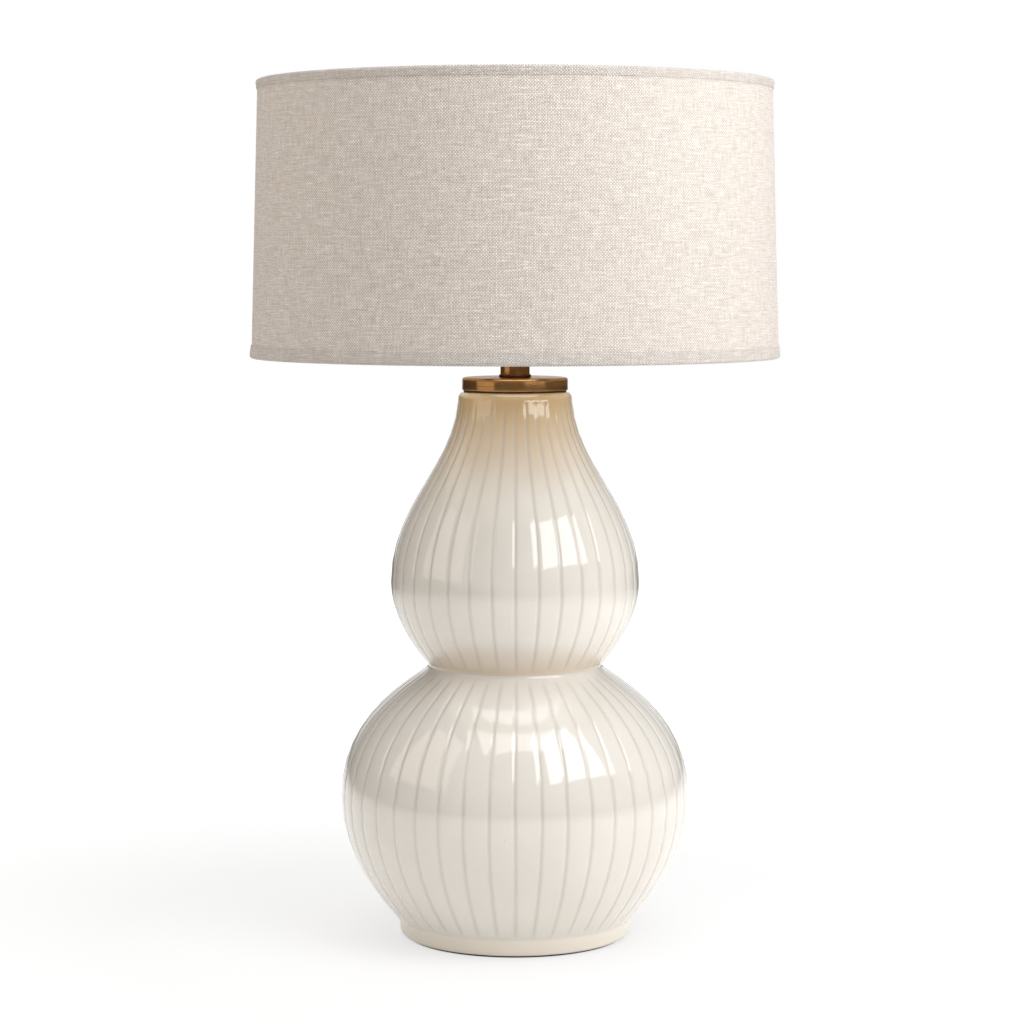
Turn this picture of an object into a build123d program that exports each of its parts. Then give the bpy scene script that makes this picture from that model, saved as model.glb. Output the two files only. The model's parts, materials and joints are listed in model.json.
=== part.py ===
from build123d import *
import os
from math import atan2, cos, hypot, radians, sin, sqrt

# Double gourd table lamp: a fluted, glazed ceramic body on a felt-covered foot, an
# antique brass neck, a turn-knob socket, and a linen drum shade held by a harp.
# Millimetres, +Z up, -Y is the front. The origin is where the lamp's axis meets
# the table.

os.makedirs("parts", exist_ok=True)

# ------------------------------------------------------------------ driving sizes

running_gap = 0.05  # radial, between a shaft and its bore
loose_gap = 0.4  # between pieces that only pass each other

# foot of the ceramic body, and what closes it from below
felt_thickness = 1.5
felt_radius = 95.0
foot_height = 14.5  # plain band under the flutes
foot_radius = 101.9  # at the top of the band
foot_taper = 2.0  # the band is this much smaller at its bottom
foot_edge_radius = 4.0
recess_radius = 82.0
recess_depth = 13.0
floor_thickness = 7.0
floor_hole_radius = 30.0

# outline of the two gourds: a pull is the length of a curve's handle
belly_radius = 151.9
belly_height = 123.0
flank_angle = 43.0  # lean of the wall where it leaves the foot
flank_start_pull = 27.0
flank_end_pull = 50.0
crease_radius = 74.3  # the sharp corner at the waist, before it is rounded
crease_height = 237.7
crease_rounding = 9.0
shoulder_angle = 48.0
shoulder_start_pull = 72.0
shoulder_end_pull = 19.0
upper_belly_radius = 107.9
upper_belly_height = 310.0
upper_flank_angle = 42.0
upper_flank_start_pull = 30.0
upper_flank_end_pull = 24.0
neck_radius = 49.6
neck_height = 468.0
neck_angle = 3.0
neck_start_pull = 69.0
neck_end_pull = 56.0
neck_rim = 8.0  # from the end of the neck's curve up to the lip
lip_rounding = 6.0
neck_hole_radius = 22.0
wall_thickness = 7.0
# the stretch of each curve that the inner wall follows, as shares of its length
inner_on_flank = (0.15, 0.95)
inner_on_shoulder = (0.05, 0.90)
inner_on_upper_flank = (0.15, 0.95)
inner_on_neck = (0.05, 0.95)

# carved flutes, and the stretch of each curve that they follow
lower_flutes = 43
upper_flutes = 34
flute_width = 2.2
flute_depth = 0.9
flute_blade_clearance = 2.7  # how far the cutter stands out of the wall
flute_on_flank = (0.03, 0.95)
flute_on_shoulder = (0.03, 0.88)
flute_on_upper_flank = (0.16, 0.95)
flute_on_neck = (0.05, 0.93)

# centre pipe (1/8-IP) and its fastening
pipe_radius = 5.15
pipe_bore_radius = 3.6
pipe_tail = 9.0  # how far the pipe reaches below the base plate
base_plate_radius = 80.0
base_plate_thickness = 1.5
lock_washer_radius = 8.0
lock_washer_thickness = 0.8
lock_washer_slit = 1.0
nut_across_flats = 14.3
nut_thickness = 4.0

# cord inlet in the back of the foot
inlet_bore_radius = 2.9
inlet_height = 9.5
bushing_radius = 4.0
bushing_flange_radius = 5.2
bushing_flange_thickness = 1.4
bushing_seat = 99.4  # from the lamp's axis to the flat that the flange sits on

# brass neck
gasket_thickness = 1.0
gasket_inner_radius = 38.0
gasket_radius = 44.6
cap_radius = 45.85
cap_height = 11.0
cap_sheet = 1.8
cap_rounding = 2.4
cap_rim_rounding = 1.4
check_ring_radius = 13.9
check_ring_height = 2.6
check_ring_rounding = 0.8
tube_radius = 12.7
tube_length = 33.0
tube_wall = 1.0

# harp and its saddle
saddle_thickness = 1.6
saddle_width = 9.0
saddle_disc_radius = 14.0
saddle_rise = 9.0  # height of the upturned ends above the saddle's underside
saddle_bend_radius = 3.0
peg_height = 8.0
harp_wire_radius = 1.6
harp_height = 190.0  # from the saddle's top to the shade's seat
harp_leg_offset = 31.5  # from the lamp's axis to each leg, which clears the bulb
harp_leg_straight = 36.0
harp_belly_offset = 55.0
harp_belly_start = 66.0  # above the foot of the leg
harp_belly_length = 50.0
harp_top_offset = 18.0
harp_bend_radii = [28.0, 55.0, 80.0, 20.0]  # one leg, from its foot upward
sleeve_wall = 1.5
sleeve_length = 18.0
harp_head_radius = 7.0
harp_head_height = 6.0
stud_radius = 3.1  # 1/4-27 thread
stud_length = 13.0

# socket
socket_radius = 17.0
socket_length = 66.0  # with its cap
socket_sheet = 0.6
socket_cap_height = 19.4
socket_cap_sheet = 0.8
socket_cap_hub_radius = 7.5
socket_cap_hub_height = 7.4
shell_overlap = 6.0  # how deep the shell sits in its cap
shell_bead_radius = 0.5
liner_wall = 0.6
interior_radius = 15.5
interior_height = 22.0
interior_boss_radius = 9.0
interior_boss_height = 5.0
screw_shell_radius = 14.2
screw_shell_depth = 28.0
screw_shell_sheet = 0.7
screw_shell_hole = 6.0
contact_radius = 4.0
contact_height = 1.6
terminal_height = 11.0  # above the underside of the interior
terminal_pocket = 9.0
terminal_pocket_depth = 3.5
terminal_head_radius = 3.2
terminal_head_height = 2.0
terminal_shank_radius = 1.6
terminal_shank_length = 5.0
shaft_radius = 2.0
shaft_start = 5.0  # from the socket's axis
shaft_in_knob = 10.0
knob_radius = 5.2
knob_length = 14.0
knob_stand_off = 4.0  # from the shell to the knob
knob_rounding = 0.3
knob_ribs = 12
knob_groove_radius = 0.6

# bulb
bulb_length = 105.0
bulb_tip_radius = 4.5
bulb_tip_height = 1.5
bulb_insulator_radius = 11.0
bulb_insulator_height = 3.7
bulb_cap_radius = 13.1
bulb_cap_length = 24.0
bulb_cap_wall = 1.0
bulb_thread_depth = 0.6
bulb_threads = 5
bulb_neck_radius = 13.8
bulb_neck_pull = 12.0  # handles of the curve from the neck to the globe
bulb_flare = 4.0
bulb_housing_height = 36.0
bulb_housing_wall = 1.2
globe_radius = 27.5
globe_wall = 1.0
led_board_thickness = 1.6

# shade
shade_top_rise = 29.3  # from the harp's seat to the shade's top edge
shade_height = 236.6
shade_bottom_radius = 227.1  # outside of the linen
shade_taper = 6.8  # the top is this much smaller in radius
linen_thickness = 0.8
liner_thickness = 0.7
shade_wire_radius = 1.3
hem_thickness = 0.95  # the folded edge trim, around the wire
bottom_hem_height = 11.0
top_hem_height = 7.5
hub_radius = 14.0
hub_thickness = 1.6
arm_wire_radius = 1.5
arm_start = 9.0  # from the lamp's axis
arm_bend_radius = 12.0
arm_count = 3

# finial
collar_radius = 9.0
collar_thickness = 1.8
finial_base_radius = 7.0
finial_base_height = 3.0
finial_neck_radius = 4.6
finial_ball_radius = 7.4
finial_height = 22.0

# -------------------------------------------------- heights that follow from these

foot_top = felt_thickness + foot_height
shelf_height = felt_thickness + recess_depth
inner_floor = shelf_height + floor_thickness
plate_bottom = shelf_height - base_plate_thickness
lip_height = neck_height + neck_rim
cap_bottom = lip_height + gasket_thickness
cap_top = cap_bottom + cap_height
tube_top = cap_top + tube_length
saddle_top = tube_top + saddle_thickness
tab_top = tube_top + saddle_rise
peg_top = tab_top + peg_height
seat_height = saddle_top + harp_height  # the shade's hub rests here
harp_wire_height = seat_height - harp_head_height / 2
socket_cap_top = saddle_top + socket_cap_height
socket_top = saddle_top + socket_length
shell_bottom = socket_cap_top - shell_overlap
interior_bottom = saddle_top + socket_cap_hub_height
interior_shoulder = interior_bottom + interior_boss_height
interior_top = interior_shoulder + interior_height
terminals_at = interior_shoulder + terminal_height
bulb_bottom = interior_top + contact_height + loose_gap / 2
insulator_bottom = bulb_bottom + bulb_tip_height
bulb_cap_bottom = insulator_bottom + bulb_insulator_height
bulb_cap_top = bulb_cap_bottom + bulb_cap_length
housing_top = bulb_cap_top + bulb_housing_height
globe_centre = bulb_bottom + bulb_length - globe_radius
shade_bottom_height = seat_height + shade_top_rise - shade_height
finial_bottom = seat_height + hub_thickness + collar_thickness


def save(piece, name):
    piece.part.label = name
    export_step(piece.part, f"parts/{name}.step")


def ring_at(piece, radius, height):
    """The circular edge about the lamp's axis that is nearest a radius and height."""
    circles = piece.edges().filter_by(GeomType.CIRCLE)
    return circles.sort_by(lambda ring: abs(ring.radius - radius) + abs(ring.center().Z - height))[0]


# ------------------------------------------------------------------ ceramic body


def leaning(start, angle, length):
    """The point length mm from start, along a line that leans outward from vertical."""
    lean = radians(angle)
    return start[0] + length * sin(lean), start[1] + length * cos(lean)


def inset(curve, distance, first, last, count=5):
    """Points along an outline that runs upward, moved toward the axis, square to it."""
    points = []
    for step in range(count):
        share = first + (last - first) * step / (count - 1)
        place, along = curve.position_at(share), curve.tangent_at(share)
        points.append((place.X - distance * along.Y, place.Y + distance * along.X))
    return points


foot_corner = (foot_radius - foot_taper, felt_thickness)
band_corner = (foot_radius, foot_top)
belly = (belly_radius, belly_height)
crease = (crease_radius, crease_height)
upper_belly = (upper_belly_radius, upper_belly_height)
neck = (neck_radius, neck_height)

# The outline is drawn flat, x as the radius and y as the height.
with BuildLine() as gourds:
    flank = Bezier(
        band_corner,
        leaning(band_corner, flank_angle, flank_start_pull),
        leaning(belly, 0, -flank_end_pull),
        belly,
    )
    shoulder = Bezier(
        belly,
        leaning(belly, 0, shoulder_start_pull),
        leaning(crease, -shoulder_angle, -shoulder_end_pull),
        crease,
    )
    upper_flank = Bezier(
        crease,
        leaning(crease, upper_flank_angle, upper_flank_start_pull),
        leaning(upper_belly, 0, -upper_flank_end_pull),
        upper_belly,
    )
    neck_sweep = Bezier(
        upper_belly,
        leaning(upper_belly, 0, neck_start_pull),
        leaning(neck, -neck_angle, -neck_end_pull),
        neck,
    )


def flute_blade(*stretches):
    """An upright plate that reaches flute_depth into the wall along the outline."""
    deep = []
    clear = []
    for curve, stretch in stretches:
        deep += inset(curve, flute_depth, *stretch)
        clear += inset(curve, -flute_blade_clearance, *stretch)
    with BuildPart() as blade:
        with BuildSketch(Plane.XZ):
            with BuildLine():
                Spline(*deep)
                Spline(*clear)
                Line(deep[0], clear[0])
                Line(deep[-1], clear[-1])
            make_face()
        extrude(amount=flute_width / 2, both=True)
    return blade.part


lower_blade = flute_blade((flank, flute_on_flank), (shoulder, flute_on_shoulder))
upper_blade = flute_blade((upper_flank, flute_on_upper_flank), (neck_sweep, flute_on_neck))

inner_wall = [
    (foot_radius - wall_thickness, inner_floor),
    *inset(flank, wall_thickness, *inner_on_flank),
    *inset(shoulder, wall_thickness, *inner_on_shoulder),
    (crease_radius + crease_rounding / 2 - wall_thickness, crease_height),
    *inset(upper_flank, wall_thickness, *inner_on_upper_flank),
    *inset(neck_sweep, wall_thickness, *inner_on_neck),
]
inner_shoulder = inner_wall[-1][1]

inlet_plane = Plane(origin=(0, 0, inlet_height), x_dir=(1, 0, 0), z_dir=(0, 1, 0))

with BuildPart() as ceramic_body:
    with BuildSketch(Plane.XZ):
        with BuildLine():
            add(gourds.line)
            Polyline(
                neck,
                (neck_radius, lip_height),
                (0, lip_height),
                (0, felt_thickness),
                foot_corner,
                band_corner,
            )
        make_face()
    revolve(axis=Axis.Z)
    fillet(ring_at(ceramic_body, crease_radius, crease_height), crease_rounding)
    fillet(ring_at(ceramic_body, foot_corner[0], felt_thickness), foot_edge_radius)
    fillet(ring_at(ceramic_body, neck_radius, lip_height), lip_rounding)
    with BuildSketch(Plane.XZ):
        with BuildLine():
            Spline(*inner_wall)
            Polyline(
                inner_wall[-1],
                (neck_hole_radius, inner_shoulder),
                (neck_hole_radius, lip_height),
                (0, lip_height),
                (0, inner_floor),
                inner_wall[0],
            )
        make_face()
    revolve(axis=Axis.Z, mode=Mode.SUBTRACT)
    with BuildSketch(Plane.XY.offset(felt_thickness)):
        Circle(recess_radius)
    extrude(amount=recess_depth, mode=Mode.SUBTRACT)
    with BuildSketch(Plane.XY.offset(shelf_height)):
        Circle(floor_hole_radius)
    extrude(amount=floor_thickness, mode=Mode.SUBTRACT)
    with BuildSketch(inlet_plane):
        Circle(bushing_radius)
    extrude(amount=foot_radius, mode=Mode.SUBTRACT)
    with BuildSketch(inlet_plane.offset(bushing_seat)):
        Circle(bushing_flange_radius + loose_gap)
    extrude(amount=foot_radius - bushing_seat, mode=Mode.SUBTRACT)
    with PolarLocations(0, lower_flutes, start_angle=-90):
        add(lower_blade, mode=Mode.SUBTRACT)
    with PolarLocations(0, upper_flutes, start_angle=-90):
        add(upper_blade, mode=Mode.SUBTRACT)
save(ceramic_body, "ceramic_body")

# ----------------------------------------------------------- under the foot, and pipe

with BuildPart() as felt_pad:
    with BuildSketch():
        Circle(felt_radius)
    extrude(amount=felt_thickness)
save(felt_pad, "felt_pad")

with BuildPart() as base_plate:
    with BuildSketch(Plane.XY.offset(plate_bottom)):
        Circle(base_plate_radius)
        Circle(pipe_radius + running_gap, mode=Mode.SUBTRACT)
    extrude(amount=base_plate_thickness)
save(base_plate, "base_plate")

with BuildPart() as lock_washer:
    with BuildSketch(Plane.XY.offset(plate_bottom - lock_washer_thickness)):
        Circle(lock_washer_radius)
        Circle(pipe_radius + running_gap, mode=Mode.SUBTRACT)
        with Locations((lock_washer_radius, 0)):
            Rectangle(lock_washer_radius, lock_washer_slit, mode=Mode.SUBTRACT)
    extrude(amount=lock_washer_thickness)
save(lock_washer, "lock_washer")

with BuildPart() as pipe_nut:
    with BuildSketch(Plane.XY.offset(plate_bottom - lock_washer_thickness)):
        RegularPolygon(nut_across_flats / 2, 6, major_radius=False)
        Circle(pipe_radius + running_gap, mode=Mode.SUBTRACT)
    extrude(amount=-nut_thickness)
save(pipe_nut, "pipe_nut")

pipe_bottom = plate_bottom - pipe_tail
with BuildPart() as threaded_pipe:
    with BuildSketch(Plane.XY.offset(pipe_bottom)):
        Circle(pipe_radius)
        Circle(pipe_bore_radius, mode=Mode.SUBTRACT)
    extrude(amount=interior_bottom - loose_gap - pipe_bottom)
save(threaded_pipe, "threaded_pipe")

with BuildPart() as cord_bushing:
    with BuildSketch(inlet_plane.offset(recess_radius - loose_gap)):
        Circle(bushing_radius)
    extrude(amount=bushing_seat - recess_radius + loose_gap)
    with BuildSketch(inlet_plane.offset(bushing_seat)):
        Circle(bushing_flange_radius)
    extrude(amount=bushing_flange_thickness)
    with BuildSketch(inlet_plane):
        Circle(inlet_bore_radius)
    extrude(amount=2 * bushing_seat, mode=Mode.SUBTRACT)
save(cord_bushing, "cord_bushing")

# --------------------------------------------------------------------- brass neck

with BuildPart() as neck_gasket:
    with BuildSketch(Plane.XY.offset(lip_height)):
        Circle(gasket_radius)
        Circle(gasket_inner_radius, mode=Mode.SUBTRACT)
    extrude(amount=gasket_thickness)
save(neck_gasket, "neck_gasket")

with BuildPart() as neck_cap:
    with BuildSketch(Plane.XY.offset(cap_bottom)):
        Circle(cap_radius)
        Circle(pipe_radius + running_gap, mode=Mode.SUBTRACT)
    extrude(amount=cap_height)
    with BuildSketch(Plane.XY.offset(cap_bottom)):
        Circle(cap_radius - cap_sheet)
    extrude(amount=cap_height - cap_sheet, mode=Mode.SUBTRACT)
    fillet(ring_at(neck_cap, cap_radius, cap_top), cap_rounding)
    fillet(ring_at(neck_cap, cap_radius, cap_bottom), cap_rim_rounding)
save(neck_cap, "neck_cap")

with BuildPart() as check_ring:
    with BuildSketch(Plane.XY.offset(cap_top)):
        Circle(check_ring_radius)
        Circle(tube_radius + running_gap, mode=Mode.SUBTRACT)
    extrude(amount=check_ring_height)
    fillet(ring_at(check_ring, check_ring_radius, cap_top + check_ring_height), check_ring_rounding)
save(check_ring, "check_ring")

with BuildPart() as neck_tube:
    with BuildSketch(Plane.XY.offset(cap_top)):
        Circle(tube_radius)
        Circle(tube_radius - tube_wall, mode=Mode.SUBTRACT)
    extrude(amount=tube_length)
save(neck_tube, "neck_tube")

# ----------------------------------------------------------------- saddle and harp

tab_outside = harp_leg_offset + saddle_thickness / 2
tab_inside = harp_leg_offset - saddle_thickness / 2
with BuildPart() as harp_saddle:
    with BuildSketch(Plane.XZ):
        with BuildLine():
            FilletPolyline(
                (-tab_outside, tab_top),
                (-tab_outside, tube_top),
                (tab_outside, tube_top),
                (tab_outside, tab_top),
                radius=saddle_bend_radius + saddle_thickness,
            )
            FilletPolyline(
                (-tab_inside, tab_top),
                (-tab_inside, saddle_top),
                (tab_inside, saddle_top),
                (tab_inside, tab_top),
                radius=saddle_bend_radius,
            )
            Line((-tab_outside, tab_top), (-tab_inside, tab_top))
            Line((tab_outside, tab_top), (tab_inside, tab_top))
        make_face()
    extrude(amount=saddle_width / 2, both=True)
    with BuildSketch(Plane.XY.offset(tube_top)):
        Circle(saddle_disc_radius)
    extrude(amount=saddle_thickness)
    with BuildSketch(Plane.XY.offset(tab_top)):
        with Locations((-harp_leg_offset, 0), (harp_leg_offset, 0)):
            Circle(harp_wire_radius)
    extrude(amount=peg_height)
    with BuildSketch(Plane.XY.offset(tube_top)):
        Circle(pipe_radius + running_gap)
    extrude(amount=saddle_thickness, mode=Mode.SUBTRACT)
save(harp_saddle, "harp_saddle")

leg = [
    (harp_leg_offset, peg_top),
    (harp_leg_offset, peg_top + harp_leg_straight),
    (harp_belly_offset, peg_top + harp_belly_start),
    (harp_belly_offset, peg_top + harp_belly_start + harp_belly_length),
    (harp_top_offset, harp_wire_height),
]
other_leg = [(-x, z) for x, z in reversed(leg)]
with BuildPart() as harp_wire:
    with BuildLine(Plane.XZ):
        FilletPolyline(*leg, *other_leg, radius=harp_bend_radii + harp_bend_radii[::-1])
    with BuildSketch(Plane.XY.offset(peg_top)):
        with Locations((harp_leg_offset, 0)):
            Circle(harp_wire_radius)
    sweep()
save(harp_wire, "harp_wire")

with BuildPart() as harp_head:
    with BuildSketch(Plane.XY.offset(seat_height)):
        Circle(harp_head_radius)
    extrude(amount=-harp_head_height)
    with BuildSketch(Plane.XY.offset(seat_height)):
        Circle(stud_radius)
    extrude(amount=stud_length)
    with BuildSketch(Plane.YZ):
        with Locations((0, harp_wire_height)):
            Circle(harp_wire_radius + running_gap)
    extrude(amount=harp_head_radius, both=True, mode=Mode.SUBTRACT)
save(harp_head, "harp_head")

for side, name in ((-1, "harp_sleeve_left"), (1, "harp_sleeve_right")):
    with BuildPart() as harp_sleeve:
        with BuildSketch(Plane.XY.offset(tab_top)):
            with Locations((side * harp_leg_offset, 0)):
                Circle(harp_wire_radius + running_gap + sleeve_wall)
                Circle(harp_wire_radius + running_gap, mode=Mode.SUBTRACT)
        extrude(amount=sleeve_length)
    save(harp_sleeve, name)

# -------------------------------------------------------------------------- socket

cap_bowl_radius = socket_radius + running_gap + socket_cap_sheet
with BuildPart() as socket_cap:
    with BuildSketch(Plane.XZ):
        with BuildLine():
            Polyline(
                (pipe_radius + running_gap, saddle_top),
                (socket_cap_hub_radius + socket_cap_sheet, saddle_top),
                (cap_bowl_radius, shell_bottom - socket_cap_sheet),
                (cap_bowl_radius, socket_cap_top),
                (cap_bowl_radius - socket_cap_sheet, socket_cap_top),
                (cap_bowl_radius - socket_cap_sheet, shell_bottom),
                (socket_cap_hub_radius, saddle_top + 2 * socket_cap_sheet),
                (socket_cap_hub_radius, interior_bottom),
                (pipe_radius + running_gap, interior_bottom),
                close=True,
            )
        make_face()
    revolve(axis=Axis.Z)
save(socket_cap, "socket_cap")

front_plane = Plane(origin=(0, 0, terminals_at), x_dir=(1, 0, 0), z_dir=(0, -1, 0))
shaft_hole_radius = shaft_radius + loose_gap

with BuildPart() as socket_shell:
    with BuildSketch(Plane.XY.offset(shell_bottom)):
        Circle(socket_radius)
        Circle(socket_radius - socket_sheet, mode=Mode.SUBTRACT)
    extrude(amount=socket_top - shell_bottom)
    with BuildSketch(Plane.XZ):
        with Locations((socket_radius, socket_top - shell_bead_radius)):
            Circle(shell_bead_radius)
    revolve(axis=Axis.Z)
    with BuildSketch(front_plane):
        Circle(shaft_hole_radius)
    extrude(amount=2 * socket_radius, mode=Mode.SUBTRACT)
save(socket_shell, "socket_shell")

liner_radius = socket_radius - socket_sheet - running_gap
with BuildPart() as socket_liner:
    with BuildSketch(Plane.XY.offset(socket_cap_top)):
        Circle(liner_radius)
        Circle(liner_radius - liner_wall, mode=Mode.SUBTRACT)
    extrude(amount=socket_top - socket_cap_top - 2 * shell_bead_radius)
    with BuildSketch(front_plane):
        Circle(shaft_hole_radius)
    extrude(amount=2 * socket_radius, mode=Mode.SUBTRACT)
save(socket_liner, "socket_liner")

pocket_face = interior_radius - terminal_pocket_depth
with BuildPart() as terminal_screws:
    with BuildSketch(Plane.YZ.offset(pocket_face)):
        with Locations((0, terminals_at)):
            Circle(terminal_head_radius)
    extrude(amount=terminal_head_height)
    with BuildSketch(Plane.YZ.offset(pocket_face)):
        with Locations((0, terminals_at)):
            Circle(terminal_shank_radius)
    extrude(amount=-terminal_shank_length)
    mirror(about=Plane.YZ)
save(terminal_screws, "terminal_screws")

with BuildPart() as socket_interior:
    with BuildSketch(Plane.XY.offset(interior_bottom)):
        Circle(interior_boss_radius)
    extrude(amount=interior_boss_height)
    with BuildSketch(Plane.XY.offset(interior_shoulder)):
        Circle(interior_radius)
    extrude(amount=interior_height)
    for side in (-1, 1):
        with Locations((side * (pocket_face + interior_radius), 0, terminals_at)):
            Box(2 * interior_radius, terminal_pocket, terminal_pocket, mode=Mode.SUBTRACT)
    with BuildSketch(front_plane.offset(shaft_start)):
        Circle(shaft_radius + running_gap)
    extrude(amount=interior_radius, mode=Mode.SUBTRACT)
    add(terminal_screws.part, mode=Mode.SUBTRACT)
save(socket_interior, "socket_interior")

with BuildPart() as screw_shell:
    with BuildSketch(Plane.XY.offset(interior_top)):
        Circle(screw_shell_radius)
    extrude(amount=screw_shell_depth)
    with BuildSketch(Plane.XY.offset(interior_top + screw_shell_sheet)):
        Circle(screw_shell_radius - screw_shell_sheet)
    extrude(amount=screw_shell_depth, mode=Mode.SUBTRACT)
    with BuildSketch(Plane.XY.offset(interior_top)):
        Circle(screw_shell_hole)
    extrude(amount=screw_shell_sheet, mode=Mode.SUBTRACT)
save(screw_shell, "screw_shell")

with BuildPart() as centre_contact:
    with BuildSketch(Plane.XY.offset(interior_top)):
        Circle(contact_radius)
    extrude(amount=contact_height)
save(centre_contact, "centre_contact")

knob_start = socket_radius + knob_stand_off
with BuildPart() as switch_shaft:
    with BuildSketch(front_plane.offset(shaft_start)):
        Circle(shaft_radius)
    extrude(amount=knob_start + shaft_in_knob - shaft_start)
save(switch_shaft, "switch_shaft")

with BuildPart() as switch_knob:
    with BuildSketch(front_plane.offset(knob_start)):
        Circle(knob_radius)
        with PolarLocations(knob_radius, knob_ribs):
            Circle(knob_groove_radius, mode=Mode.SUBTRACT)
    extrude(amount=knob_length)
    fillet(switch_knob.edges().group_by(Axis.Y)[0], knob_rounding)
    with BuildSketch(front_plane.offset(knob_start)):
        Circle(shaft_radius)
    extrude(amount=shaft_in_knob, mode=Mode.SUBTRACT)
save(switch_knob, "switch_knob")

# ---------------------------------------------------------------------------- bulb

with BuildPart() as bulb_tip_contact:
    with BuildSketch(Plane.XY.offset(bulb_bottom)):
        Circle(bulb_tip_radius)
    extrude(amount=bulb_tip_height)
save(bulb_tip_contact, "bulb_tip_contact")

with BuildPart() as bulb_insulator:
    with BuildSketch(Plane.XY.offset(insulator_bottom)):
        Circle(bulb_tip_radius)
    with BuildSketch(Plane.XY.offset(bulb_cap_bottom)):
        Circle(bulb_insulator_radius)
    loft()
save(bulb_insulator, "bulb_insulator")

thread_pitch = bulb_cap_length / (bulb_threads + 1)
thread_roots = bulb_cap_radius - bulb_thread_depth
with BuildPart() as bulb_screw_cap:
    with BuildSketch(Plane.XY.offset(bulb_cap_bottom)):
        Circle(thread_roots)
    extrude(amount=bulb_cap_length)
    with BuildSketch(Plane.XZ):
        for thread in range(bulb_threads):
            with Locations((thread_roots, bulb_cap_bottom + (thread + 1) * thread_pitch)):
                Circle(bulb_thread_depth)
    revolve(axis=Axis.Z)
    with BuildSketch(Plane.XY.offset(bulb_cap_bottom + bulb_cap_wall)):
        Circle(thread_roots - bulb_cap_wall)
    extrude(amount=bulb_cap_length, mode=Mode.SUBTRACT)
save(bulb_screw_cap, "bulb_screw_cap")

globe_rim = sqrt(globe_radius**2 - (globe_centre - housing_top) ** 2)


def housing_face(depth):
    """The housing's outline, moved in by depth."""
    return Bezier(
        (bulb_neck_radius - depth, bulb_cap_top),
        (bulb_neck_radius - depth, bulb_cap_top + bulb_neck_pull),
        (globe_rim - bulb_flare - depth, housing_top - bulb_neck_pull),
        (globe_rim - depth, housing_top),
    )


with BuildPart() as bulb_housing:
    with BuildSketch(Plane.XZ):
        with BuildLine():
            outside = housing_face(0)
            inside = housing_face(bulb_housing_wall)
            Line(outside @ 0, inside @ 0)
            Line(outside @ 1, inside @ 1)
        make_face()
    revolve(axis=Axis.Z)
save(bulb_housing, "bulb_housing")

with BuildPart() as led_board:
    with BuildSketch(Plane.XY.offset(housing_top)):
        Circle(globe_rim - bulb_housing_wall - 2 * loose_gap)
    extrude(amount=-led_board_thickness)
save(led_board, "led_board")

with BuildPart() as bulb_globe:
    with BuildSketch(Plane.XZ):
        with Locations((0, globe_centre)):
            Circle(globe_radius)
            Circle(globe_radius - globe_wall, mode=Mode.SUBTRACT)
        with Locations((0, housing_top)):
            Rectangle(
                globe_radius, 2 * globe_radius, align=(Align.MIN, Align.MIN), mode=Mode.INTERSECT
            )
    revolve(axis=Axis.Z)
save(bulb_globe, "bulb_globe")

# --------------------------------------------------------------------------- shade

# The wall leans inward going up. Its sketches lie on a plane that leans with it:
# x runs out of the linen's face and y up along the wall from the shade's bottom.
shade_lean = atan2(shade_taper, shade_height)
wall_length = hypot(shade_taper, shade_height)
wall_plane = Plane(
    origin=(shade_bottom_radius, 0, shade_bottom_height),
    x_dir=(cos(shade_lean), 0, sin(shade_lean)),
    z_dir=(0, -1, 0),
)
wall_middle = -(linen_thickness + liner_thickness) / 2
hem_radius = shade_wire_radius + hem_thickness
bottom_wire = (wall_middle, hem_radius)
top_wire = (wall_middle, wall_length - hem_radius)
wall_start = hem_radius + shade_wire_radius + running_gap
wall_run = wall_length - 2 * wall_start

for name, outer_face, thickness in (
    ("shade_linen", 0, linen_thickness),
    ("shade_liner", -linen_thickness, liner_thickness),
):
    with BuildPart() as shade_layer:
        with BuildSketch(wall_plane):
            with Locations((outer_face, wall_start)):
                Rectangle(thickness, wall_run, align=(Align.MAX, Align.MIN))
        revolve(axis=Axis.Z)
    save(shade_layer, name)

for name, place in (("shade_top_wire", top_wire), ("shade_bottom_wire", bottom_wire)):
    with BuildPart() as shade_wire:
        with BuildSketch(wall_plane):
            with Locations(place):
                Circle(shade_wire_radius)
        revolve(axis=Axis.Z)
    save(shade_wire, name)

# Three arms run out from the hub and turn up beside the top wire.
top_wire_at = wall_plane.from_local_coords(Vector(*top_wire))
arm_height = seat_height + hub_thickness / 2
arm_reach = top_wire_at.X - shade_wire_radius - arm_wire_radius
with BuildPart() as spider_arm:
    with BuildLine(Plane.XZ):
        FilletPolyline(
            (arm_start, arm_height),
            (arm_reach, arm_height),
            (arm_reach, top_wire_at.Z + shade_wire_radius),
            radius=arm_bend_radius,
        )
    with BuildSketch(Plane.YZ.offset(arm_start)):
        with Locations((0, arm_height)):
            Circle(arm_wire_radius)
    sweep()

with BuildPart() as spider_arms:
    with PolarLocations(0, arm_count, start_angle=90):
        add(spider_arm.part)
save(spider_arms, "spider_arms")

with BuildPart() as spider_hub:
    with BuildSketch(Plane.XY.offset(seat_height)):
        Circle(hub_radius)
        Circle(stud_radius + loose_gap, mode=Mode.SUBTRACT)
    extrude(amount=hub_thickness)
    add(spider_arms.part, mode=Mode.SUBTRACT)
save(spider_hub, "spider_hub")

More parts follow.
